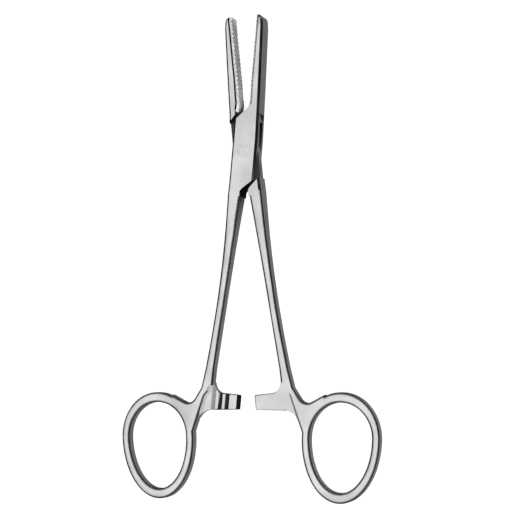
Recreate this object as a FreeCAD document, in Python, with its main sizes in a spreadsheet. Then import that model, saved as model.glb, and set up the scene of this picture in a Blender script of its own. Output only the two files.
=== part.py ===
import FreeCAD, Part
import os
import math
import Sketcher

# Tubing clamp with a box lock, straight cross serrated jaws, three ratchet
# teeth and two finger rings. Millimetres. Z is up out of the resting face,
# Y runs to the jaw tips, X to the right hand ring. The origin lies on the
# axis of the rivet, in the face the box rests on. Both arms are drawn shut,
# jaws against each other on the plane x = 0, and are then turned about the
# rivet to the half open position they are shown in.

os.makedirs("parts", exist_ok=True)
doc = FreeCAD.newDocument("tubing_clamp")

SIZES = [
    ("half_open", 5.6, "angle each arm is turned from shut, degrees"),
    ("box_thick", 6.6, "thickness of box and jaws"),
    ("wire_thick", 4.5, "thickness of shanks, webs and rings"),
    ("plate_thick", 2.0, "each plate of the box"),
    ("slot_play", 0.05, "play between the tongue and each plate"),
    ("end_play", 0.10, "play between tongue end and slot end"),
    ("step_play", 0.12, "play between plates and shoulders when shut"),
    ("box_half", 4.5, "half width of the box"),
    ("step_side", 10.1, "height of the plate edge at its side"),
    ("step_mid", 13.7, "height of the plate edge near the middle"),
    ("tongue_reach", 10.95, "radius of the round tongue ends"),
    ("heel_wide", 0.28, "tongue past the middle at its round ends"),
    ("pin_radius", 1.8, "rivet shank"),
    ("pin_play", 0.04, "radial play of the rivet in the tongue"),
    ("head_radius", 2.4, "rivet head at the face of the plate"),
    ("jaw_reach", 47.2, "jaw tip from the rivet"),
    ("jaw_gap", 0.05, "jaw face from the middle plane when shut"),
    ("tip_wide", 2.8, "jaw width where the round tip begins"),
    ("tip_round", 3.9, "length of the round tip"),
    ("tip_lean", 0.6, "how far the outside leans in along the round tip"),
    ("nose_round", 1.9, "radius of the tip corner"),
    ("root_wide", 4.15, "jaw width at its root"),
    ("relief", 0.2, "relief of the jaw face at its root"),
    ("relief_start", 24.0, "height where the relief begins"),
    ("relief_low", 18.5, "height where the crotch arc begins"),
    ("inner_bevel", 1.2, "bevel along the jaw face"),
    ("outer_bevel", 0.75, "bevel along the outside"),
    ("groove_pitch", 1.5, "spacing of the jaw grooves along the jaw"),
    ("groove_low", 15.6, "lowest groove above the rivet"),
    ("groove_deep", 0.30, "depth of the jaw grooves"),
    ("groove_half", 0.32, "half width of the jaw grooves"),
    ("neck_top", 14.4, "where the shank starts inside the box"),
    ("neck_end", 15.8, "lower edge of the box"),
    ("neck_in", 0.20, "inner side of the shank at the box"),
    ("shank_out", 4.65, "outer side of the shank at the box"),
    ("bow_start", 24.0, "where the outer side begins to bow"),
    ("bow_mid", 49.0, "middle of the bow"),
    ("bow_mid_out", 5.40, "outer side at the middle of the bow"),
    ("web_top", 75.0, "where the shank runs into the web"),
    ("web_in", 4.50, "inner side of the shank at the web"),
    ("web_out", 7.60, "outer side of the shank at the web"),
    ("taper_start", 16.5, "where the shank begins to thin"),
    ("taper_end", 55.0, "where the shank reaches its full thinness"),
    ("ring_across", 23.3, "ring centre to the side"),
    ("ring_down", 100.0, "ring centre below the rivet"),
    ("ring_lean", 8.4, "lean of the ring, degrees"),
    ("hole_half", 10.7, "half width of the finger hole"),
    ("hole_up", 11.8, "finger hole above its widest line"),
    ("hole_low", 17.7, "finger hole below its widest line"),
    ("wire_side", 2.7, "ring wire at the sides"),
    ("wire_ends", 3.4, "ring wire at top and bottom"),
    ("saddle_x", 11.9, "web saddle to the side"),
    ("saddle_y", 88.2, "web saddle below the rivet"),
    ("edge_round", 1.05, "rounding of shanks, webs and rings"),
    ("saddle_round", 3.2, "radius of the saddle"),
    ("arm_end", 5.0, "ratchet arm past the middle plane"),
    ("arm_top", 82.9, "upper edge of the ratchet arm"),
    ("arm_low", 87.9, "lower edge of the ratchet arm at its end"),
    ("arm_root_low", 89.1, "lower edge of the ratchet arm at its root"),
    ("arm_round", 3.2, "radius between arm and shank"),
    ("arm_play", 0.05, "tooth tips from the middle layer plane"),
    ("tooth_pitch", 2.5, "ratchet pitch"),
    ("tooth_high", 1.15, "ratchet tooth height"),
    ("tooth_flat", 1.0, "flat on a ratchet tooth"),
    ("nose_bevel", 1.1, "bevel on the end of the arm"),
    ("notch_wide", 6.1, "milled notch for the other arm, from the middle"),
    ("notch_top", 80.6, "upper end of the milled notch"),
]

sheet = doc.addObject("Spreadsheet::Sheet", "Sheet")
for line, (alias, value, note) in enumerate(SIZES, start=1):
    sheet.set("A%d" % line, note)
    sheet.set("B%d" % line, str(value))
    sheet.setAlias("B%d" % line, alias)
doc.recompute()


class Size:
    """A length with its number and the sheet formula it comes from."""

    def __init__(self, number, formula):
        self.number = float(number)
        self.formula = formula

    def join(self, other, sign, number):
        if not isinstance(other, Size):
            other = Size(other, repr(float(other)))
        return Size(number(self.number, other.number),
                    "(%s %s %s)" % (self.formula, sign, other.formula))

    def __add__(self, other):
        return self.join(other, "+", lambda a, b: a + b)

    def __sub__(self, other):
        return self.join(other, "-", lambda a, b: a - b)

    def __mul__(self, other):
        return self.join(other, "*", lambda a, b: a * b)

    def __truediv__(self, other):
        return self.join(other, "/", lambda a, b: a / b)

    def root_less(self, other):
        """Height of a circle of this radius at a distance off its middle."""
        return Size(math.sqrt(self.number ** 2 - other.number ** 2),
                    "sqrt(%s ^ 2 - %s ^ 2)" % (self.formula, other.formula))

    def __neg__(self):
        return Size(0.0, "0") - self


def size(alias):
    return Size(sheet.get(alias), "Sheet." + alias)


ZERO = Size(0.0, "0")
MIDDLE = size("box_thick") / 2


def number(value):
    return value.number if isinstance(value, Size) else float(value)


def bind(thing, prop, value):
    """Set a property and keep it tied to the sheet."""
    setattr(thing, prop, number(value))
    if isinstance(value, Size):
        thing.setExpression(prop, value.formula)


def place(thing, prop, x, y, z, turn):
    """Bind a whole placement, turned about Z, to the sheet."""
    setattr(thing, prop, FreeCAD.Placement(
        FreeCAD.Vector(x.number, y.number, z.number),
        FreeCAD.Rotation(FreeCAD.Vector(0, 0, 1), turn.number)))
    thing.setExpression(prop, "create(<<placement>>; create(<<vector>>; "
                        "%s; %s; %s); create(<<rotation>>; "
                        "create(<<vector>>; 0; 0; 1); %s))"
                        % (x.formula, y.formula, z.formula, turn.formula))


def plane(body, role):
    for feature in body.Origin.OriginFeatures:
        if feature.Role == role:
            return feature
    raise ValueError(role)


def sketch_on(body, name, role, height=None):
    sketch = body.newObject("Sketcher::SketchObject", name)
    sketch.AttachmentSupport = [(plane(body, role), "")]
    sketch.MapMode = "FlatFace"
    if height is not None:
        sketch.setExpression("AttachmentOffset.Base.z", height.formula)
        sketch.AttachmentOffset = FreeCAD.Placement(
            FreeCAD.Vector(0, 0, height.number), FreeCAD.Rotation())
    return sketch


def fix_point(sketch, geo, pos, x, y):
    for kind, value in (("DistanceX", x), ("DistanceY", y)):
        index = sketch.addConstraint(
            Sketcher.Constraint(kind, -1, 1, geo, pos, number(value)))
        if isinstance(value, Size):
            sketch.setExpression("Constraints[%d]" % index, value.formula)


def draw(sketch, start, moves):
    """Closed outline of lines and three point arcs, every point sized."""
    def flat(point):
        return FreeCAD.Vector(number(point[0]), number(point[1]), 0)

    here = start
    geos = []
    for move in moves:
        end = move[-1]
        if len(move) == 1:
            shape = Part.LineSegment(flat(here), flat(end))
            geo = sketch.addGeometry(shape, False)
            ends = (1, 2)
        else:
            shape = Part.Arc(flat(here), flat(move[0]), flat(end))
            geo = sketch.addGeometry(shape, False)
            turned = sketch.getPoint(geo, 1).distanceToPoint(flat(here)) > 1e-4
            ends = (2, 1) if turned else (1, 2)
            mark = sketch.addGeometry(Part.Point(flat(move[0])), True)
            fix_point(sketch, mark, 1, move[0][0], move[0][1])
            sketch.addConstraint(
                Sketcher.Constraint("PointOnObject", mark, 1, geo))
        geos.append((geo, ends))
        fix_point(sketch, geo, ends[1], end[0], end[1])
        here = end
    for (geo, ends), (after, after_ends) in zip(geos, geos[1:] + geos[:1]):
        sketch.addConstraint(
            Sketcher.Constraint("Coincident", geo, ends[1],
                                after, after_ends[0]))


def pad(body, name, sketch, length):
    feature = body.newObject("PartDesign::Pad", name)
    feature.Profile = sketch
    bind(feature, "Length", length)
    body.Tip = feature
    doc.recompute()
    return feature


def pocket(body, name, sketch, length=None, onward=False):
    """Cut by length along the sketch normal, or against it when onward is
    set, or both ways through everything."""
    before = body.Shape.Volume
    feature = body.newObject("PartDesign::Pocket", name)
    feature.Profile = sketch
    if length is None:
        feature.Type = "ThroughAll"
        feature.Midplane = True
    else:
        feature.Reversed = not onward
        bind(feature, "Length", length)
    body.Tip = feature
    doc.recompute()
    if body.Shape.Volume > before - 1e-6:
        raise ValueError("%s cut nothing" % name)
    return feature


def dress(body, name, kind, edges, amount):
    """Fillet or chamfer the edges of the body's tip that a test picks."""
    base = body.Tip
    picked = []
    for count, edge in enumerate(base.Shape.Edges, start=1):
        middle = edge.valueAt((edge.FirstParameter + edge.LastParameter) / 2)
        if edges(edge, middle):
            picked.append("Edge%d" % count)
    feature = body.newObject("PartDesign::" + kind, name)
    feature.Base = (base, picked)
    bind(feature, "Radius" if kind == "Fillet" else "Size", amount)
    body.Tip = feature
    doc.recompute()
    if "Invalid" in feature.State:
        raise ValueError("%s failed on %s" % (name, picked))
    return feature


def upright(edge):
    low = edge.valueAt(edge.FirstParameter)
    high = edge.valueAt(edge.LastParameter)
    return math.hypot(high.x - low.x, high.y - low.y) < 1e-4


def egg(body, name, height, half, up, low):
    """Egg of two half ellipses that share their widest line."""
    sketch = body.newObject("Sketcher::SketchObject", name)
    sketch.AttachmentSupport = [(plane(body, "XY_Plane"), "")]
    sketch.MapMode = "FlatFace"
    place(sketch, "AttachmentOffset", size("ring_across"),
          -size("ring_down"), height, -size("ring_lean"))
    for length, first in ((up, -math.pi / 2), (low, math.pi / 2)):
        shape = Part.Ellipse(FreeCAD.Vector(0, length.number, 0),
                             FreeCAD.Vector(-half.number, 0, 0),
                             FreeCAD.Vector(0, 0, 0))
        arc = sketch.addGeometry(
            Part.ArcOfEllipse(shape, first, first + math.pi), False)
        sketch.exposeInternalGeometry(arc)
        major = arc + 1
        minor = arc + 2
        sketch.addConstraint(Sketcher.Constraint("Coincident", arc, 3, -1, 1))
        fix_point(sketch, minor, 1, -half, ZERO)
        index = sketch.addConstraint(Sketcher.Constraint(
            "DistanceY", -1, 1, major, 1, length.number))
        sketch.setExpression("Constraints[%d]" % index, length.formula)
        for end in (1, 2):
            sketch.addConstraint(
                Sketcher.Constraint("PointOnObject", arc, end, minor))
    return sketch


def jaw_points(side):
    """Tip, outside and relieved face of the jaw that lies at side times x."""
    gap = size("jaw_gap")
    reach = size("jaw_reach")
    tip = size("tip_wide")
    round_start = reach - size("tip_round")
    high = (gap * side, reach)
    outer = (tip * side, round_start)
    nose = ((tip - size("tip_lean")) * side, reach)
    root = (size("root_wide") * side, size("step_mid") - 0.7)
    mid = ((tip + (size("root_wide") - tip) * 0.54) * side,
           (round_start + root[1]) / 2)
    low = ((gap + size("relief")) * side, size("relief_low"))
    start = (gap * side, size("relief_start"))
    return high, nose, outer, mid, root, low, start


def at(x, y):
    """Point of the handle, with y counted down from the rivet."""
    return (x, -y)


def shank_and_ring(body):
    """Shank, web and finger ring, drawn for the right hand."""

    shank = sketch_on(body, "shank_outline", "XY_Plane")
    top_in = at(size("neck_in"), size("neck_top"))
    draw(shank, top_in, [
        (at(size("shank_out"), size("neck_top")),),
        (at(size("shank_out"), size("bow_start")),),
        (at(size("bow_mid_out"), size("bow_mid")),
         at(size("web_out"), size("web_top"))),
        (at(size("web_out") + 1.0, size("arm_top") - 1.2),),
        (at(size("saddle_x"), size("saddle_y")),),
        (at(size("ring_across") - 4.0, size("ring_down") - 14.8),),
        (at(size("ring_across"), size("ring_down")),),
        (at(size("ring_across") - 12.0, size("ring_down") + 1.0),),
        (at(size("web_in") + 2.7, size("arm_top") + 1.5),),
        (at(size("web_in") + 0.1, size("arm_top") - 2.0),),
        (at(size("web_in"), size("web_top")),),
        (top_in,),
    ])
    pad(body, "shank_blank", shank, size("box_thick"))

    taper = sketch_on(body, "shank_taper", "YZ_Plane")
    thin = size("wire_thick") / 2
    far = -(size("ring_down") + 40.0)
    for way in (1, -1):
        face = MIDDLE + MIDDLE * way
        level = MIDDLE + thin * way
        quarter = level + (face - level) / 4
        middle = -((size("taper_start") + size("taper_end")) / 2)
        start = (-size("taper_start"), face)
        draw(taper, start, [
            ((middle, quarter), (-size("taper_end"), level)),
            ((far, level),),
            ((far, face + 1.0 * way),),
            ((-size("taper_start"), face + 1.0 * way),),
            (start,),
        ])
    pocket(body, "shank_thinned", taper)

    ring = egg(body, "ring_outline", MIDDLE - thin,
               size("hole_half") + size("wire_side"),
               size("hole_up") + size("wire_ends"),
               size("hole_low") + size("wire_ends"))
    pad(body, "ring_blank", ring, size("wire_thick"))

    hole = egg(body, "finger_hole", ZERO, size("hole_half"),
               size("hole_up"), size("hole_low"))
    pocket(body, "ring_opened", hole)

    saddle_x = sheet.get("saddle_x")
    saddle_y = sheet.get("saddle_y")

    def saddle(edge, middle):
        return upright(edge) and math.hypot(
            middle.x - saddle_x, middle.y + saddle_y) < 0.5

    dress(body, "saddle", "Fillet", saddle, size("saddle_round"))

    neck = sheet.get("neck_top")

    def rim(edge, middle):
        return not upright(edge) and abs(middle.y + neck) > 1e-3

    dress(body, "edges_rounded", "Fillet", rim, size("edge_round"))


def ratchet(body):
    """Ratchet arm with three teeth, and the notch milled for the other arm.

    The arm points away from its ring. It fills the front half of the
    thickness, and its teeth look to the back.
    """
    face = MIDDLE + size("arm_play")
    outside = MIDDLE + size("wire_thick") / 2

    top = size("arm_top")
    curve = size("arm_round")
    inner = size("web_in")
    bend = 1.0 - math.sqrt(0.5)
    outline = sketch_on(body, "arm_outline", "XY_Plane", face)
    start = at(-size("arm_end"), top)
    draw(outline, start, [
        (at(inner - curve, top),),
        (at(inner - curve * bend, top - curve * bend),
         at(inner + 0.1, top - curve)),
        (at(inner + 2.0, top - curve),),
        (at(inner + 5.1, size("arm_root_low") + 4.5),),
        (at(inner + 3.55, size("arm_root_low") + 1.25),
         at(inner + 1.0, size("arm_root_low")),),
        (at(-size("arm_end"), size("arm_low")),),
        (start,),
    ])
    pad(body, "arm_blank", outline, outside - face)

    notch = sketch_on(body, "notch_outline", "XY_Plane", ZERO)
    wide = size("notch_wide")
    under = size("arm_root_low") + 1.4
    start = at(ZERO, size("notch_top"))
    draw(notch, start, [
        (at(wide - 1.0, size("notch_top")),),
        (at(wide - 0.29, size("notch_top") + 0.29),
         at(wide, size("notch_top") + 1.0)),
        (at(wide, under),),
        (at(ZERO, under),),
        (start,),
    ])
    pocket(body, "notch_milled", notch, face)

    def profile(along, deep):
        return (-along, face + deep)

    pitch = size("tooth_pitch")
    flat = size("tooth_flat")
    tall = size("tooth_high")
    end = size("arm_end")
    last = end - pitch - size("nose_bevel")
    teeth = sketch_on(body, "tooth_profile", "XZ_Plane",
                      size("arm_root_low") + 1.4)
    for count in range(3):
        back = last - pitch * count
        start = profile(back - pitch + flat, ZERO)
        draw(teeth, start, [
            (profile(back, tall),),
            (profile(back, ZERO - 0.4),),
            (profile(back - pitch + flat, ZERO - 0.4),),
            (start,),
        ])
    start = profile(last + flat, ZERO)
    draw(teeth, start, [
        (profile(end - size("nose_bevel"), tall * 0.4),),
        (profile(end + 0.2, tall * 0.4 + size("nose_bevel") + 0.2),),
        (profile(end + 0.2, ZERO - 0.4),),
        (profile(last + flat, ZERO - 0.4),),
        (start,),
    ])
    pocket(body, "teeth_cut", teeth,
           size("arm_root_low") + 1.4 - size("notch_top"), onward=True)


def pin_profile(sketch):
    """Half section of the rivet: straight shank, countersunk ends."""
    shank = size("pin_radius")
    head = size("head_radius")
    thick = size("box_thick")
    start = (ZERO, ZERO)
    draw(sketch, start, [
        ((head, ZERO),),
        ((shank, head - shank),),
        ((shank, thick - head + shank),),
        ((head, thick),),
        ((ZERO, thick),),
        (start,),
    ])


def spin(body, name, kind, sketch):
    feature = body.newObject("PartDesign::" + kind, name)
    feature.Profile = sketch
    feature.ReferenceAxis = (sketch, ["V_Axis"])
    feature.Angle = 360
    body.Tip = feature
    doc.recompute()
    return feature


def bevel_jaw(body, side):
    """Bevels along the jaw face and along the outside of jaw and box."""
    thick = sheet.get("box_thick")
    crotch = sheet.get("step_mid") + 0.2
    inside = sheet.get("jaw_gap") + sheet.get("relief") + 0.5
    narrow = sheet.get("root_wide") - 0.1
    corner = sheet.get("step_side")
    widest = sheet.get("shank_out") + 0.02
    lowest = sheet.get("neck_end") - 0.1
    mouth = sheet.get("jaw_reach") - 1.0

    def on_face(edge, middle):
        return not upright(edge) and min(
            abs(middle.z), abs(middle.z - thick)) < 1e-4

    def inner(edge, middle):
        return (on_face(edge, middle) and middle.x * side < inside
                and crotch < middle.y < mouth)

    def outer(edge, middle):
        across = middle.x * side
        if not on_face(edge, middle) or middle.y < -lowest:
            return False
        on_side = narrow < abs(across) < widest
        return on_side or (across > inside and middle.y > corner + 3.0)

    def corner_edge(edge, middle):
        return upright(edge) and middle.y > mouth and middle.x * side > inside

    dress(body, "nose_round", "Fillet", corner_edge, size("nose_round"))
    dress(body, "outside_bevel", "Chamfer", outer, size("outer_bevel"))
    dress(body, "face_bevel", "Chamfer", inner, size("inner_bevel"))


def groove_jaw(body, side):
    """Crossed grooves of the jaw face, cut slanting both ways."""
    half = size("groove_half")
    pitch = size("groove_pitch")
    bottom = size("inner_bevel") - size("groove_deep") - 0.05
    top = size("box_thick") - bottom
    low = size("groove_low")
    room = size("jaw_reach") - 0.6 - low - (top - bottom)
    count = int(room.number / pitch.number) + 1
    for name, first, second in (("rising", bottom, top),
                                ("falling", top, bottom)):
        sketch = sketch_on(body, name + "_groove", "YZ_Plane",
                           size("jaw_gap") * side)
        far = low + (top - bottom)
        start = (low - half, first)
        draw(sketch, start, [
            ((low + half, first),),
            ((far + half, second),),
            ((far - half, second),),
            (start,),
        ])
        cut = pocket(body, name + "_cut", sketch, size("groove_deep"),
                     onward=side < 0)
        row = body.newObject("PartDesign::LinearPattern", name + "_row")
        row.Originals = [cut]
        row.Direction = (sketch, ["H_Axis"])
        row.Occurrences = count
        bind(row, "Length", pitch * (count - 1))
        body.Tip = row
        doc.recompute()


def arc_points(reach, heel, far, turn):
    """Round end wall about the rivet, from the middle out to the side."""
    inner = (heel * turn, reach.root_less(heel) * turn)
    outer = (far * turn, reach.root_less(far) * turn)
    half = (heel + far) / 2
    between = (half * turn, reach.root_less(half) * turn)
    return inner, between, outer


def female_head(body, side):
    """Jaw, front and back plate of the box, and the slot between them."""
    high, nose, outer, mid, root, low, start = jaw_points(side)
    half = size("box_half")
    step = size("step_side")
    middle = size("step_mid")
    neck = size("neck_in") * side
    heel = -size("neck_end")
    sketch = sketch_on(body, "box_outline", "XY_Plane")
    draw(sketch, high, [
        (nose,),
        (outer,),
        (mid, root),
        ((half * side, step - 6.0),),
        ((half * side, -(step - 0.4)),),
        ((ZERO + 0.3 * side, -(middle - 0.5)),),
        ((-neck, -(middle + 0.3)),),
        ((-neck, heel),),
        ((-(size("shank_out") * side), heel),),
        ((-(half * side), -(step + 1.0)),),
        ((-(half * side), step),),
        ((ZERO - 0.95 * side, middle),),
        ((ZERO, middle + 1.9), low),
        (start,),
        (high,),
    ])
    pad(body, "box_blank", sketch, size("box_thick"))
    bevel_jaw(body, side)

    reach = size("tongue_reach") + size("end_play")
    near = size("heel_wide") + size("end_play")
    far = half + 1.4
    ends = middle + 1.5
    slot = sketch_on(body, "slot_outline", "XY_Plane", size("plate_thick"))
    inner, between, outer = arc_points(reach, near * side, far * side, 1)
    inner_low, between_low, outer_low = arc_points(
        reach, near * side, far * side, -1)
    draw(slot, inner, [
        ((near * side, ends),),
        ((-(far * side), ends),),
        (outer_low,),
        (between_low, inner_low),
        ((-(near * side), -ends),),
        ((far * side, -ends),),
        (outer,),
        (between, inner),
    ])
    pocket(body, "slot_cut", slot,
           size("box_thick") - size("plate_thick") * 2)

    seat = sketch_on(body, "rivet_seat", "XZ_Plane")
    pin_profile(seat)
    spin(body, "rivet_hole", "Groove", seat)
    groove_jaw(body, side)


def male_head(body, side):
    """Jaw, thin tongue through the box, and the root of the shank."""
    high, nose, outer, mid, root, low, start = jaw_points(side)
    half = size("box_half")
    step = size("step_side")
    middle = size("step_mid")
    play = size("step_play") * 1.4
    neck = size("neck_in") * side
    heel = -size("neck_end")

    jaw = sketch_on(body, "jaw_outline", "XY_Plane")
    draw(jaw, high, [
        (nose,),
        (outer,),
        (mid, root),
        ((half * side, step),),
        ((half * side, step - 2.0),),
        ((ZERO + 1.9 * side, step - 2.0),),
        ((ZERO + 1.9 * side, middle - 1.2),),
        ((ZERO + 0.6 * side, middle + 1.3), low),
        (start,),
        (high,),
    ])
    pad(body, "jaw_blank", jaw, size("box_thick"))
    bevel_jaw(body, side)

    # the shoulder lies along the slanting edge of the plates when shut
    across = half - 0.95
    climb = middle - step
    shoulder = sketch_on(body, "shoulder_outline", "XY_Plane")
    start = ((half + across / 2) * side, step + play - climb / 2)
    draw(shoulder, start, [
        (((half - across * 1.5) * side, step + play + climb * 1.5),),
        (((half - across * 1.5) * side, step - 3.0),),
        (((half + across / 2) * side, step - 3.0),),
        (start,),
    ])
    pocket(body, "shoulder_cut", shoulder)

    reach = size("tongue_reach")
    near = size("heel_wide")
    flank = size("plate_thick") + size("slot_play")
    tongue = sketch_on(body, "tongue_outline", "XY_Plane", flank)
    inner, between, outer_end = arc_points(
        reach, -(near * side), -(half * side), 1)
    inner_low, between_low, outer_low = arc_points(
        reach, -(near * side), -(half * side), -1)
    draw(tongue, inner, [
        ((ZERO + 1.35 * side, middle),),
        ((half * side, step + 1.2),),
        (outer_low,),
        (between_low, inner_low),
        ((ZERO - 0.5 * side, -(middle - 0.1)),),
        ((-(half * side), -(step + 0.8)),),
        (outer_end,),
        (between, inner),
    ])
    pad(body, "tongue_blank", tongue, size("box_thick") - flank * 2)

    heel_sketch = sketch_on(body, "root_outline", "XY_Plane")
    start = (-(half * side), -(step - 0.4 + play))
    draw(heel_sketch, start, [
        ((ZERO - 0.45 * side, -(middle - 0.62 + play)),),
        ((-neck, -(middle + 0.3)),),
        ((-neck, heel),),
        ((-(size("shank_out") * side), heel),),
        ((-(half * side), -(step + 1.0)),),
        (start,),
    ])
    pad(body, "root_blank", heel_sketch, size("box_thick"))

    low_side = -sheet.get("step_side") + 0.5
    high_side = sheet.get("root_wide") - 0.1
    thick = sheet.get("box_thick")

    def root_side(edge, middle):
        flat = min(abs(middle.z), abs(middle.z - thick)) < 1e-4
        return (flat and not upright(edge) and middle.y < low_side
                and abs(middle.x) > high_side)

    dress(body, "root_bevel", "Chamfer", root_side, size("outer_bevel"))

    bore = sketch_on(body, "rivet_bore", "XY_Plane")
    circle = bore.addGeometry(Part.Circle(FreeCAD.Vector(0, 0, 0),
                              FreeCAD.Vector(0, 0, 1), 1.0), False)
    bore.addConstraint(Sketcher.Constraint("Coincident", circle, 3, -1, 1))
    radius = size("pin_radius") + size("pin_play")
    index = bore.addConstraint(
        Sketcher.Constraint("Radius", circle, radius.number))
    bore.setExpression("Constraints[%d]" % index, radius.formula)
    pocket(body, "rivet_bored", bore)
    groove_jaw(body, side)


def arm(name, head, jaw_side, lower):
    """One forged arm: head and handle in one solid, turned half open."""
    upper = doc.addObject("PartDesign::Body", name + "_head")
    head(upper, jaw_side)
    whole = doc.addObject("Part::MultiFuse", name)
    whole.Shapes = [upper, lower]
    whole.Refine = True
    place(whole, "Placement", ZERO, ZERO, ZERO,
          size("half_open") * -jaw_side)
    doc.recompute()
    return whole


# Both arms have the same handle. The box arm's is turned over about Y, which
# puts its ratchet in the back half with the teeth to the front.
handle = doc.addObject("PartDesign::Body", "handle")
shank_and_ring(handle)
ratchet(handle)
turned_handle = doc.addObject("Part::Compound", "turned_handle")
turned_handle.Links = [handle]
turned_handle.Placement = FreeCAD.Placement(
    FreeCAD.Vector(0, 0, sheet.get("box_thick")),
    FreeCAD.Rotation(FreeCAD.Vector(0, 1, 0), 180))
turned_handle.setExpression("Placement.Base.z", "Sheet.box_thick")

box_arm = arm("box_arm", female_head, 1, turned_handle)
inner_arm = arm("inner_arm", male_head, -1, handle)

pivot_pin = doc.addObject("PartDesign::Body", "pivot_pin")
section = sketch_on(pivot_pin, "rivet_section", "XZ_Plane")
pin_profile(section)
spin(pivot_pin, "rivet", "Revolution", section)
place(pivot_pin, "Placement", ZERO, ZERO, ZERO, ZERO)
doc.recompute()

for thing in doc.Objects:
    if "Invalid" in thing.State or "Error" in thing.State:
        raise ValueError("%s is %s" % (thing.Label, thing.State))

for node in (box_arm, inner_arm, pivot_pin):
    shape = node.Shape
    if shape.isNull() or not shape.isValid() or len(shape.Solids) != 1:
        raise ValueError("%s has no sound solid" % node.Label)
    shape.exportStep("parts/%s.step" % node.Label)
    print(node.Label, "volume", round(shape.Volume, 1), "mm3,",
          len(shape.Faces), "faces")
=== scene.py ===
# %% [markdown]
# # A tubing clamp in satin steel
# The clamp is forged from stainless steel: two arms that cross in a box lock,
# a flush rivet, jaws with crossed grooves, a ratchet and two finger rings.
# The solids come packed from the CAD side, in metres, with the whole shape of
# the clamp. This script gives them a smooth skin, their steel, broken edges on
# the ratchet, a table, studio light and the camera.

# %% Load the clamp
import bmesh
import bpy
import math
from mathutils import Matrix, Vector


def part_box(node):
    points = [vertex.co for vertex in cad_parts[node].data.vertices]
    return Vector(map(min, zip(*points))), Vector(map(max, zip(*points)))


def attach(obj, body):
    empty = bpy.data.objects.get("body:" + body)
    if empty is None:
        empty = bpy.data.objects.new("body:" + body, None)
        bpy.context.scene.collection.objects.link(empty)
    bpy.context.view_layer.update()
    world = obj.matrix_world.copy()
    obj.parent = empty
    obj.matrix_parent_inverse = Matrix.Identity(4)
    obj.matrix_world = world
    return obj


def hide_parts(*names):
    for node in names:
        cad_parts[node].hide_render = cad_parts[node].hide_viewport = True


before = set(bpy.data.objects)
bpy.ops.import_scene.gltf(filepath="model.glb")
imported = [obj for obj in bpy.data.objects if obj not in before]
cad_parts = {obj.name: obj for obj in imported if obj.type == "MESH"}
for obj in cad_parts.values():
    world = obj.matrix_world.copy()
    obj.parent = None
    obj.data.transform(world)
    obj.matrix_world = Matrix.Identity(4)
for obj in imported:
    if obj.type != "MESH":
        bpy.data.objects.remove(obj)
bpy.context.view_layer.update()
MM = 0.001
print("nodes:", sorted(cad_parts))

# %% [markdown]
# ## What the solids measure
# A finish has a scale. Grinding lines are a tenth of a millimetre wide, and
# the wire of a ring is about three millimetres, so the sizes are read before
# any pattern is chosen. The arms stand half open, each turned the same angle
# off the middle, and the grinding lines follow each arm, not the table.

# %% Read the sizes
HALF_OPEN = math.radians(5.6)
for node in ("box_arm", "inner_arm", "pivot_pin"):
    low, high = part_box(node)
    size = [round((b - a) / MM, 1) for a, b in zip(low, high)]
    print(node, "is", size, "mm")

# %% [markdown]
# ## Helpers for a material
# A finish is a small graph of nodes. Two helpers keep it readable: one adds a
# node with its settings, and one links an output to an input.


# %% Node helpers
def add(tree, kind, **settings):
    node = tree.nodes.new(kind)
    for name, value in settings.items():
        setattr(node, name, value)
    return node


def feed(tree, source, target, output=0, socket=0):
    tree.links.new(source.outputs[output], target.inputs[socket])


# %% [markdown]
# ## Brushed grain
# A ground surface is a bundle of fine parallel scratches. It could be an
# anisotropic shader alone, but then a close view shows a smooth sheet. Noise
# that is stretched along the arm gives real lines: the coordinates are turned
# with the arm and squeezed across it, so the noise changes fast across the
# lines and slowly along them.

# %% Grain along one arm
GRAIN_WIDE = 0.14 * MM
GRAIN_LONG = 6 * MM


def grain_along(tree, coords, turn):
    turned = add(tree, "ShaderNodeMapping", vector_type="TEXTURE")
    turned.inputs["Rotation"].default_value = (0, 0, turn)
    feed(tree, coords, turned, "Object", "Vector")
    squeezed = add(tree, "ShaderNodeMapping")
    squeezed.inputs["Scale"].default_value = (1 / GRAIN_WIDE, 1 / GRAIN_LONG,
                                              1 / GRAIN_WIDE)
    feed(tree, turned, squeezed)
    lines = add(tree, "ShaderNodeTexNoise")
    lines.inputs["Scale"].default_value = 1.0
    lines.inputs["Detail"].default_value = 3.0
    lines.inputs["Roughness"].default_value = 0.6
    feed(tree, squeezed, lines)
    return lines


# %% [markdown]
# ## Cloudy polish
# Hand polishing leaves some places a little brighter and some a little
# rougher, a few millimetres across. A soft noise in place of the stretched
# one does this. It drives both the tint and the roughness, so that a duller
# patch is also a rougher one, as on real steel.


# %% Patches left by polishing
def polish_clouds(tree, coords, size, detail=2.0):
    clouds = add(tree, "ShaderNodeTexNoise")
    clouds.inputs["Scale"].default_value = 1 / size
    clouds.inputs["Detail"].default_value = detail
    feed(tree, coords, clouds, "Object", "Vector")
    return clouds


def spread(tree, source, low, high, start=0.3, end=0.7):
    """Turn the range from start to end into the range from low to high. The
    first is the middle of a noise, unless it is given."""
    ranged = add(tree, "ShaderNodeMapRange")
    ranged.inputs["From Min"].default_value = start
    ranged.inputs["From Max"].default_value = end
    ranged.inputs["To Min"].default_value = low
    ranged.inputs["To Max"].default_value = high
    feed(tree, source, ranged)
    return ranged


# %% [markdown]
# ## Metal, tint and relief
# Several finishes of the clamp start the same way, so each start is written
# once. The first helper makes a material that is metal. The second tints it by
# the clouds, from pale to dull. The third lifts the surface where a pattern is
# bright. A bump node only tilts the light and adds no face, which is right for
# marks that are too shallow to feel.

# %% What the steels have in common
PALE_STEEL = (0.80, 0.80, 0.81, 1)
DULL_STEEL = (0.62, 0.62, 0.64, 1)


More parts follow.
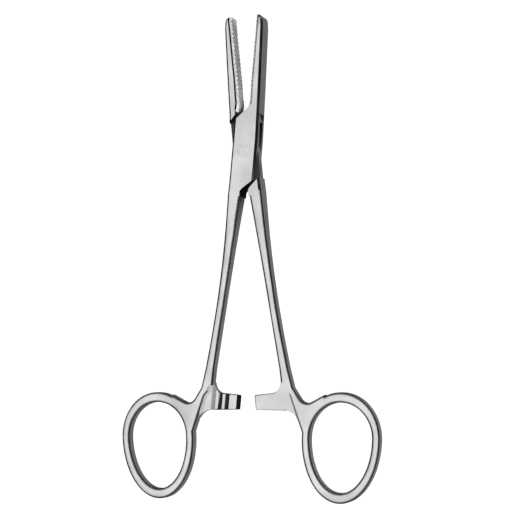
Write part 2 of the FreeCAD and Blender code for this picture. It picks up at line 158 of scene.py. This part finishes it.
def new_metal(name, metal=1.0):
    material = bpy.data.materials.new(name)
    material.use_nodes = True
    shader = material.node_tree.nodes["Principled BSDF"]
    shader.inputs["Metallic"].default_value = metal
    return material, material.node_tree, shader


def cloudy_tint(tree, shader, clouds, dull, low, high):
    tint = add(tree, "ShaderNodeMix", data_type="RGBA")
    tint.inputs["A"].default_value = PALE_STEEL
    tint.inputs["B"].default_value = dull
    feed(tree, spread(tree, clouds, low, high), tint, 0, "Factor")
    feed(tree, tint, shader, "Result", "Base Color")


def lift(tree, pattern, output, strength, distance):
    bump = add(tree, "ShaderNodeBump")
    bump.inputs["Strength"].default_value = strength
    bump.inputs["Distance"].default_value = distance
    feed(tree, pattern, bump, output, "Height")
    return bump


# %% [markdown]
# ## Satin stainless steel
# The arms are ground, then given a satin polish. The shader is a metal with
# a pale, hardly blue grey. Its roughness is the sum of the clouds and the
# grain, low enough that bevels mirror the dark horizon as black lines and
# high enough that flats stay even. The grain also lifts the surface by a few
# thousandths of a millimetre. Hand polishing never leaves a flat quite flat,
# so a second, much longer wave bends the reflections a little, and the plates
# and rings run from light to dark as they do in the photograph.

# %% Steel of an arm
GRAIN_HIGH = 0.006 * MM
WAVE_LONG = 16 * MM
WAVE_HIGH = 1.5 * MM


def satin_steel(name, turn, smooth=0.12, rough=0.22, patch=9 * MM,
                metal=1.0, dull=DULL_STEEL):
    material, tree, shader = new_metal(name, metal)
    coords = add(tree, "ShaderNodeTexCoord")
    clouds = polish_clouds(tree, coords, patch)
    cloudy_tint(tree, shader, clouds, dull, low=0.0, high=0.8)

    grain = grain_along(tree, coords, turn)
    base = spread(tree, clouds, low=smooth, high=rough)
    extra = spread(tree, grain, low=-0.04, high=0.06)
    total = add(tree, "ShaderNodeMath", operation="ADD")
    feed(tree, base, total, 0, 0)
    feed(tree, extra, total, 0, 1)
    feed(tree, total, shader, 0, "Roughness")

    waves = polish_clouds(tree, coords, WAVE_LONG, detail=1.0)
    swell = lift(tree, waves, 0, strength=1.0, distance=WAVE_HIGH)
    relief = lift(tree, grain, 0, strength=0.35, distance=GRAIN_HIGH)
    feed(tree, swell, relief, 0, "Normal")
    feed(tree, relief, shader, 0, "Normal")
    print(name, "has", len(tree.nodes), "nodes")
    return material


box_arm_steel = satin_steel("box_arm_satin", -HALF_OPEN)
inner_arm_steel = satin_steel("inner_arm_satin", HALF_OPEN)

# %% [markdown]
# ## Milled gripping faces
# The gripping faces of the jaws, with their bevels and crossed grooves, are
# milled and then left alone, because a polish would make them slip. The steel
# is the same, but much rougher and speckled by the cutter, so these faces
# gather light from all over the room where the polished ones mirror the dark.
# Light that bounces twice in a rough surface behaves almost like paint, so the
# metal share of the shader is lowered.

# %% Steel of the gripping faces
MILLED_METAL = 0.25
milled_steel = satin_steel("milled_jaw", 0.0, smooth=0.45, rough=0.62,
                           patch=0.7 * MM, metal=MILLED_METAL,
                           dull=(0.26, 0.26, 0.27, 1))

# %% [markdown]
# ## A polished rim on the bevels
# Where a bevel meets the flat of the jaw, the wheel that polishes the flat
# also catches the first half millimetre of the bevel. That rim is a mirror
# again, and it draws a dark line between the flat and the bevel. The rim is
# told by its distance from the middle of the jaw's thickness, which is the
# same on the front and on the back. The node that answers 1 on the rim and 0
# elsewhere then raises the metal share and lowers the roughness.

# %% Polish the rim
THICK = 6.6 * MM
RIM = 0.45 * MM
RIM_ROUGHNESS = 0.25


def polish_rim(material):
    tree = material.node_tree
    shader = tree.nodes["Principled BSDF"]
    place = add(tree, "ShaderNodeSeparateXYZ")
    feed(tree, tree.nodes["Texture Coordinate"], place, "Object", 0)
    height = add(tree, "ShaderNodeMath", operation="SUBTRACT")
    height.inputs[1].default_value = THICK / 2
    feed(tree, place, height, "Z", 0)
    from_middle = add(tree, "ShaderNodeMath", operation="ABSOLUTE")
    feed(tree, height, from_middle, 0, 0)
    rim = add(tree, "ShaderNodeMath", operation="GREATER_THAN")
    rim.inputs[1].default_value = THICK / 2 - RIM
    feed(tree, from_middle, rim, 0, 0)

    metal = spread(tree, rim, MILLED_METAL, 1.0, start=0.0, end=1.0)
    feed(tree, metal, shader, 0, "Metallic")
    share = spread(tree, rim, 1.0, RIM_ROUGHNESS, start=0.0, end=1.0)
    finer = add(tree, "ShaderNodeMath", operation="MULTIPLY")
    milled_roughness = shader.inputs["Roughness"].links[0].from_socket
    tree.links.new(milled_roughness, finer.inputs[0])
    feed(tree, share, finer, 0, 1)
    feed(tree, finer, shader, 0, "Roughness")
    print("rim is", round(RIM / MM, 2), "mm wide")


polish_rim(milled_steel)

# %% [markdown]
# ## Painted shade inside the lock
# The slot, the tongue and the slanting shoulders lie deep inside the lock, and
# the slopes between the ratchet's teeth lie in narrow notches, where shade and
# dark reflections fall. Their faces get painted shade: the same metal with a
# much darker tint.

# %% Painted shade inside the lock
# Painted shade: a near-black tint stands in for the shade and dark reflections
# in the lock and between the teeth.
PAINTED_SHADE_TINT = (0.07, 0.07, 0.07, 1)
PAINTED_SHADE_ROUGHNESS = 0.42
painted_shade_steel, tree, painted_shade_shader = new_metal("painted_shade_lock")
painted_shade_shader.inputs["Base Color"].default_value = PAINTED_SHADE_TINT
painted_shade_shader.inputs["Roughness"].default_value = PAINTED_SHADE_ROUGHNESS
print("lock steel has", len(tree.nodes), "nodes")

# %% [markdown]
# ## The rivet's end
# The rivet is peened over and ground flush, so its round end shows only as a
# faint disc whose turning marks run in circles. Rings of a wave texture,
# centred on the rivet's axis, where the object's own origin is, give those
# marks. The colour stays that of the arms. At a scale of 1 the rings are
# 0.314 m apart, so the scale is that length over the wanted one.

# %% Steel of the rivet
RINGS_APART = 0.314
MARKS_APART = 0.314 * MM
MARK_HIGH = 0.004 * MM
RIVET_PATCH = 1.6 * MM


def turned_steel(name):
    material, tree, shader = new_metal(name)
    coords = add(tree, "ShaderNodeTexCoord")
    clouds = polish_clouds(tree, coords, RIVET_PATCH)
    cloudy_tint(tree, shader, clouds, DULL_STEEL, low=0.1, high=0.9)

    rings = add(tree, "ShaderNodeTexWave", wave_type="RINGS",
                rings_direction="Z")
    rings.inputs["Scale"].default_value = RINGS_APART / MARKS_APART
    rings.inputs["Distortion"].default_value = 0.6
    feed(tree, coords, rings, "Object", "Vector")
    roughness = spread(tree, rings, low=0.20, high=0.30, start=0.0, end=1.0)
    feed(tree, roughness, shader, 0, "Roughness")
    relief = lift(tree, rings, 1, strength=0.2, distance=MARK_HIGH)
    feed(tree, relief, shader, 0, "Normal")
    print(name, "has", len(tree.nodes), "nodes")
    return material


rivet_steel = turned_steel("rivet_satin")

# %% [markdown]
# ## A smooth skin for each forging
# The solids arrive as loose flat triangles, and on polished metal every flat
# one shows. The shape is right, so nothing is modelled again: a copy of the
# mesh is welded in edit mode, and then shaded smooth wherever two faces meet
# at a small angle. Bevels, grooves and teeth keep their crisp edges, because
# they turn more sharply than that.

# %% Weld and smooth a copy
WELD = 0.001 * MM
CRISP = math.radians(24)


def take_up(skin):
    """Select this piece alone and open it in edit mode."""
    bpy.ops.object.select_all(action="DESELECT")
    skin.select_set(True)
    bpy.context.view_layer.objects.active = skin
    bpy.ops.object.mode_set(mode="EDIT")


def smooth_skin(node, name, body, material):
    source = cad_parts[node]
    skin = bpy.data.objects.new(name, source.data.copy())
    bpy.context.scene.collection.objects.link(skin)
    take_up(skin)
    bpy.ops.mesh.select_all(action="SELECT")
    bpy.ops.mesh.customdata_custom_splitnormals_clear()
    bpy.ops.mesh.remove_doubles(threshold=WELD)
    bpy.ops.mesh.normals_make_consistent(inside=False)
    bpy.ops.object.mode_set(mode="OBJECT")
    bpy.ops.object.shade_smooth_by_angle(angle=CRISP)
    skin.data.materials.clear()
    skin.data.materials.append(material)
    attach(skin, body)
    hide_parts(node)
    print(name, "has", len(skin.data.polygons), "faces")
    return skin


# %% [markdown]
# ## The two arms and the rivet
# Each skin rides on the body of its own solid, so the inner arm still turns
# in the box. The rivet stays with the arm that carries the box.

# %% Dress the three pieces
box_arm = smooth_skin("box_arm", "box_arm_skin", "box_side",
                      box_arm_steel)
inner_arm = smooth_skin("inner_arm", "inner_arm_skin", "tongue_side",
                        inner_arm_steel)
smooth_skin("pivot_pin", "rivet_skin", "box_side", rivet_steel)

# %% [markdown]
# ## Which faces are milled
# A jaw is polished all round but for the side that grips, so one forging has
# two finishes. The jaw could be cut off as a piece of its own, but then a seam
# would show. Instead the mesh stays whole, and each of its faces is asked two
# things: whether it lies above the root of the jaw, and whether it leans
# towards the other jaw.

# %% Give the gripping faces their milled steel
JAW_START = 13.6 * MM
INWARD = 0.3


def mill_gripping_face(skin, towards):
    skin.data.materials.append(milled_steel)
    number = len(skin.data.materials) - 1
    milled = 0
    for face in skin.data.polygons:
        inward = face.normal.x * towards > INWARD
        if face.center.y > JAW_START and inward:
            face.material_index = number
            milled += 1
    print(skin.name, "has", milled, "milled faces")


mill_gripping_face(box_arm, -1)
mill_gripping_face(inner_arm, 1)

# %% [markdown]
# ## Which walls get painted shade in the lock
# The painted shade goes on the walls between the front and the back of the
# lock, and its outer sides keep the satin steel of the rest. The arm is first
# turned upright, in numbers only, because a side of the lock is then simply a
# face that looks left or right and lies far from the middle.

# %% Darken the walls inside the lock
LOCK_LOW = -16.0 * MM
LOCK_TOP = 13.2 * MM
LOCK_SIDE = 4.2 * MM
SKIN_DEEP = 0.45 * MM
SIDE_FACING = 0.93


# Puts the painted shade on the inner walls of the lock.
def darken_lock(skin, lean):
    skin.data.materials.append(painted_shade_steel)
    number = len(skin.data.materials) - 1
    straight = Matrix.Rotation(-lean, 3, "Z")
    darkened = 0
    for face in skin.data.polygons:
        corners = [straight @ skin.data.vertices[i].co for i in face.vertices]
        centre = sum(corners, Vector()) / len(corners)
        outer_side = (abs((straight @ face.normal).x) > SIDE_FACING
                      and abs(centre.x) > LOCK_SIDE)
        if (all(corner.y > LOCK_LOW for corner in corners)
                and centre.y < LOCK_TOP
                and SKIN_DEEP < centre.z < THICK - SKIN_DEEP
                and not outer_side):
            face.material_index = number
            darkened += 1
    print(skin.name, "has", darkened, "dark faces in the lock")


darken_lock(box_arm, -HALF_OPEN)
darken_lock(inner_arm, HALF_OPEN)

# %% [markdown]
# ## Which slopes get painted shade in the ratchet
# The slopes between the saw teeth get the painted shade too, while the flats
# of the ratchet arms and their upper and lower edges keep the satin steel. So
# a face with painted shade lies within the toothed part, isn't flat, and
# doesn't look up or down the clamp.

# %% Darken the slopes between the ratchet's teeth
ARM_TOP = -82.0 * MM
ARM_LOW = -90.0 * MM
TEETH_END = 10.4 * MM
EDGE_FACING = 0.5
FLAT_FACING = 0.95


# Puts the painted shade, the material added last for the lock, on the slopes
# between the teeth.
def darken_teeth(skin):
    number = len(skin.data.materials) - 1
    darkened = 0
    for face in skin.data.polygons:
        toothed = (abs(face.center.x) < TEETH_END
                   and ARM_LOW < face.center.y < ARM_TOP)
        slope = (abs(face.normal.y) < EDGE_FACING
                 and abs(face.normal.z) < FLAT_FACING)
        if toothed and slope:
            face.material_index = number
            darkened += 1
    print(skin.name, "has", darkened, "dark faces in the ratchet")


darken_teeth(box_arm)
darken_teeth(inner_arm)

# %% [markdown]
# ## Broken edges on the ratchet arms
# The ratchet arms are milled after forging, and a polisher then takes the
# sharpness off their outlines, which draws a dark line round each arm. The
# flat faces are merged first, so that no stray triangle gets in the way. The
# outline is every sharp edge beside a face that looks up or down the clamp,
# and every sharp edge at the arm's free end. The teeth stay crisp. An edge
# that is shorter than the break is left alone, as the bevel would fold there.

# %% Merge the flat faces of one ratchet arm
LEVEL = math.radians(0.5)


def in_box(point, low, high):
    return all(a <= value <= b for a, value, b in zip(low, point, high))


def merge_flats(skin, low, high):
    bpy.ops.mesh.select_mode(type="FACE")
    mesh = bmesh.from_edit_mesh(skin.data)
    for face in mesh.faces:
        face.select_set(all(in_box(v.co, low, high) for v in face.verts))
    bmesh.update_edit_mesh(skin.data)
    bpy.ops.mesh.dissolve_limited(angle_limit=LEVEL)


# %% Tell an edge of the outline
BREAK = 0.36 * MM
SHARP = math.radians(35)
OUTLINE_FACING = 0.7
NEAR_END = 0.35 * MM


def on_outline(edge, low, high, end):
    middle = (edge.verts[0].co + edge.verts[1].co) / 2
    if len(edge.link_faces) != 2 or not in_box(middle, low, high):
        return False
    beside = any(abs(face.normal.y) > OUTLINE_FACING
                 for face in edge.link_faces)
    at_end = abs(middle.x - end) < NEAR_END
    return ((beside or at_end) and edge.calc_length() > BREAK
            and edge.calc_face_angle() > SHARP)


# %% Bevel the outline of one ratchet arm
def break_outline(skin, low, high, end):
    take_up(skin)
    merge_flats(skin, low, high)
    bpy.ops.mesh.select_mode(type="EDGE")
    bpy.ops.mesh.select_all(action="DESELECT")
    mesh = bmesh.from_edit_mesh(skin.data)
    outline = [edge for edge in mesh.edges if on_outline(edge, low, high, end)]
    for edge in outline:
        edge.select_set(True)
    picked = len(outline)
    bmesh.update_edit_mesh(skin.data)
    bpy.ops.mesh.bevel(offset=BREAK, segments=2, affect="EDGES")
    bpy.ops.object.mode_set(mode="OBJECT")
    bpy.ops.object.shade_smooth_by_angle(angle=CRISP)
    print(skin.name, "has", picked, "edges broken")


# %% [markdown]
# ## Where each ratchet arm begins and ends
# The left arm reaches from the web beside its ring to a little short of the
# middle, and the right arm does the same from the other side. The helper
# needs a box round each arm and the place of its free end.

# %% Break the outlines of both ratchet arms
ARM_ROOT = 12.4 * MM
ARM_END = 3.11 * MM
break_outline(box_arm, (-ARM_ROOT, ARM_LOW, 0), (0, ARM_TOP, THICK), -ARM_END)
break_outline(inner_arm, (0, ARM_LOW, 0), (ARM_ROOT, ARM_TOP, THICK), ARM_END)

# %% [markdown]
# ## Ramps of grey
# The table and the room both change in brightness with an angle, once with
# how steeply a ray meets the table and once with how high it points. One
# helper serves both: a colour ramp whose marks are pairs of a place and a
# brightness.


# %% A ramp of grey marks
def grey_ramp(tree, source, output, marks):
    ramp = add(tree, "ShaderNodeValToRGB")
    elements = ramp.color_ramp.elements
    while len(elements) < len(marks):
        elements.new(0.5)
    for element, (place, value) in zip(elements, marks):
        element.position = place
        element.color = (value, value, value, 1)
    feed(tree, source, ramp, output, 0)
    return ramp


# %% [markdown]
# ## One look for the camera and one for the steel
# A catalogue picture has a white ground, but steel that mirrored white on all
# sides would lose its dark lines. The light path node tells whether a ray
# comes straight from the camera, and a mix shader then picks one of two looks.


# %% Pick a look by the ray
def by_ray(tree, for_light, for_camera):
    rays = add(tree, "ShaderNodeLightPath")
    seen = add(tree, "ShaderNodeMixShader")
    feed(tree, rays, seen, "Is Camera Ray", 0)
    feed(tree, for_light, seen, 0, 1)
    feed(tree, for_camera, seen, 0, 2)
    return seen


# %% [markdown]
# ## The table
# The clamp lies on a frosted white table. A white that is only lit would
# need lamps that are too strong for the steel, so the camera also sees a glow
# of the table itself, a little short of white. The light that falls on the
# table adds the rest, and is missing in the clamp's soft shadow. Steel shows
# the table too. Frosted glass looks pale from above, dark at a slant and pale
# again where the view only skims it, so the upright sides of the clamp come
# out grey and its bevels black. A layer weight node, which knows how flat a
# ray meets the table, gives that.

# %% Frost of the table
SLANTS = [(0.12, 0.14), (0.40, 0.002), (0.66, 0.002), (0.74, 0.035)]
GLOW = 0.95


def frosted_white(name):
    material = bpy.data.materials.new(name)
    material.use_nodes = True
    tree = material.node_tree
    paint = tree.nodes["Principled BSDF"]
    slant = add(tree, "ShaderNodeLayerWeight")
    frost = grey_ramp(tree, slant, "Facing", SLANTS)
    feed(tree, frost, paint, 0, "Base Color")
    paint.inputs["Roughness"].default_value = 0.9
    paint.inputs["Specular IOR Level"].default_value = 0.1

    glow = add(tree, "ShaderNodeEmission")
    glow.inputs["Strength"].default_value = GLOW
    nothing = add(tree, "ShaderNodeEmission")
    nothing.inputs["Strength"].default_value = 0.0
    both = add(tree, "ShaderNodeAddShader")
    feed(tree, paint, both, 0, 0)
    feed(tree, by_ray(tree, nothing, glow), both, 0, 1)
    feed(tree, both, tree.nodes["Material Output"], 0, "Surface")
    return material


# %% Build the table
TABLE_WIDE = 1.6
TABLE_TOP = -0.05 * MM
bpy.ops.object.select_all(action="DESELECT")
bpy.ops.mesh.primitive_plane_add(size=TABLE_WIDE, location=(0, 0, TABLE_TOP))
table = bpy.context.object
table.name = "table"
table.data.materials.append(frosted_white("white_table"))
print("table is", TABLE_WIDE, "m wide")

# %% [markdown]
# ## The room
# Polished steel shows the room it stands in. Instrument photographs have a
# wide soft light overhead, a weaker strip at window height, and nothing bright
# at the horizon or between the two. The dark parts draw the black lines along
# the bevels. The strip lets a low view see pale steel. It is left out on both
# long sides of the clamp, where it would turn the black lines grey. The camera
# itself sees the room white.

# %% Light of the room
OVERHEAD = [(0.0, 0.003), (0.46, 0.003), (0.62, 0.46), (0.80, 0.78),
            (0.95, 0.98)]
STRIP = [(0.12, 0.0), (0.18, 0.38), (0.27, 0.38), (0.33, 0.0)]
STRIP_FADES = 0.76
STRIP_GONE = 0.88


def studio_light(tree):
    coords = add(tree, "ShaderNodeTexCoord")
    direction = add(tree, "ShaderNodeSeparateXYZ")
    feed(tree, coords, direction, "Generated", 0)
    sideways = add(tree, "ShaderNodeMath", operation="ABSOLUTE")
    feed(tree, direction, sideways, "X", 0)
    strip_share = spread(tree, sideways, 1.0, 0.0, STRIP_FADES, STRIP_GONE)
    light = add(tree, "ShaderNodeMix", data_type="RGBA", blend_type="ADD")
    feed(tree, strip_share, light, 0, "Factor")
    feed(tree, grey_ramp(tree, direction, "Z", OVERHEAD), light, 0, "A")
    feed(tree, grey_ramp(tree, direction, "Z", STRIP), light, 0, "B")
    return light


# %% Build the room
world = bpy.data.worlds.new("studio")
bpy.context.scene.world = world
world.use_nodes = True
tree = world.node_tree
sky = tree.nodes["Background"]
feed(tree, studio_light(tree), sky, "Result", "Color")
white = add(tree, "ShaderNodeBackground")
seen = by_ray(tree, sky, white)
feed(tree, seen, tree.nodes["World Output"], 0, "Surface")
print("room has", len(tree.nodes), "nodes")

# %% [markdown]
# ## One soft lamp
# A large soft box high on the right lights the rough gripping faces and gives
# the table a soft shadow. The polished steel doesn't mirror it, so that no
# flat burns out and the bevels keep their dark lines.

# %% Hang the soft box
LAMP_AT = Vector((0.45, -0.35, 0.55))
LAMP_AIM = Vector((0, -0.03, 0))
bpy.ops.object.light_add(type="AREA", location=LAMP_AT)
soft_box = bpy.context.object
soft_box.name = "soft_box"
soft_box.data.shape = "RECTANGLE"
soft_box.data.size = 0.5
soft_box.data.size_y = 0.35
soft_box.data.energy = 9.0
soft_box.visible_glossy = False
beam = LAMP_AIM - LAMP_AT
soft_box.rotation_euler = beam.to_track_quat("-Z", "Y").to_euler()
print("soft box energy", soft_box.data.energy, "W")

# %% [markdown]
# ## The camera
# The photograph looks down on the clamp from the right hand side, and a little
# from the side of the rings, from about half a metre. That distance sets how
# fast the far side shrinks, and the lens then follows from how many
# millimetres a pixel of the picture covers. A camera looks along its own
# minus Z, so its three axes are worked out first: back, right and up.

# %% Turn of the camera
LEAN = math.radians(21)
DIP = math.radians(-4.98)
ROLL = math.radians(-0.24)
back = Vector((math.sin(LEAN) * math.cos(DIP), math.sin(DIP),
               math.cos(LEAN) * math.cos(DIP)))
right = Vector((0, 1, 0)).cross(back).normalized()
up = back.cross(right)
right_rolled = right * math.cos(ROLL) + up * math.sin(ROLL)
up_rolled = up * math.cos(ROLL) - right * math.sin(ROLL)
turn = Matrix((right_rolled, up_rolled, back)).transposed()
print("camera looks along", [round(-value, 2) for value in back])

# %% Place the camera
DISTANCE = 464 * MM
TARGET = Vector((2.73, -35.65, 3.3)) * MM
PIXEL = 0.340 * MM
PIXELS = 510
SENSOR = 36
bpy.ops.object.camera_add(location=TARGET + back * DISTANCE)
camera = bpy.context.object
camera.name = "camera"
camera.rotation_euler = turn.to_euler()
camera.data.sensor_width = SENSOR
camera.data.lens = SENSOR * (DISTANCE / PIXEL) / PIXELS
camera.data.clip_start = 0.01
bpy.context.scene.camera = camera
bpy.context.scene.view_settings.view_transform = "Standard"
print("lens is", round(camera.data.lens, 1), "mm")

# %% [markdown]
# ## End of the script
# A last line is printed when the scene is built.

# %% End of the script
print("scene built")
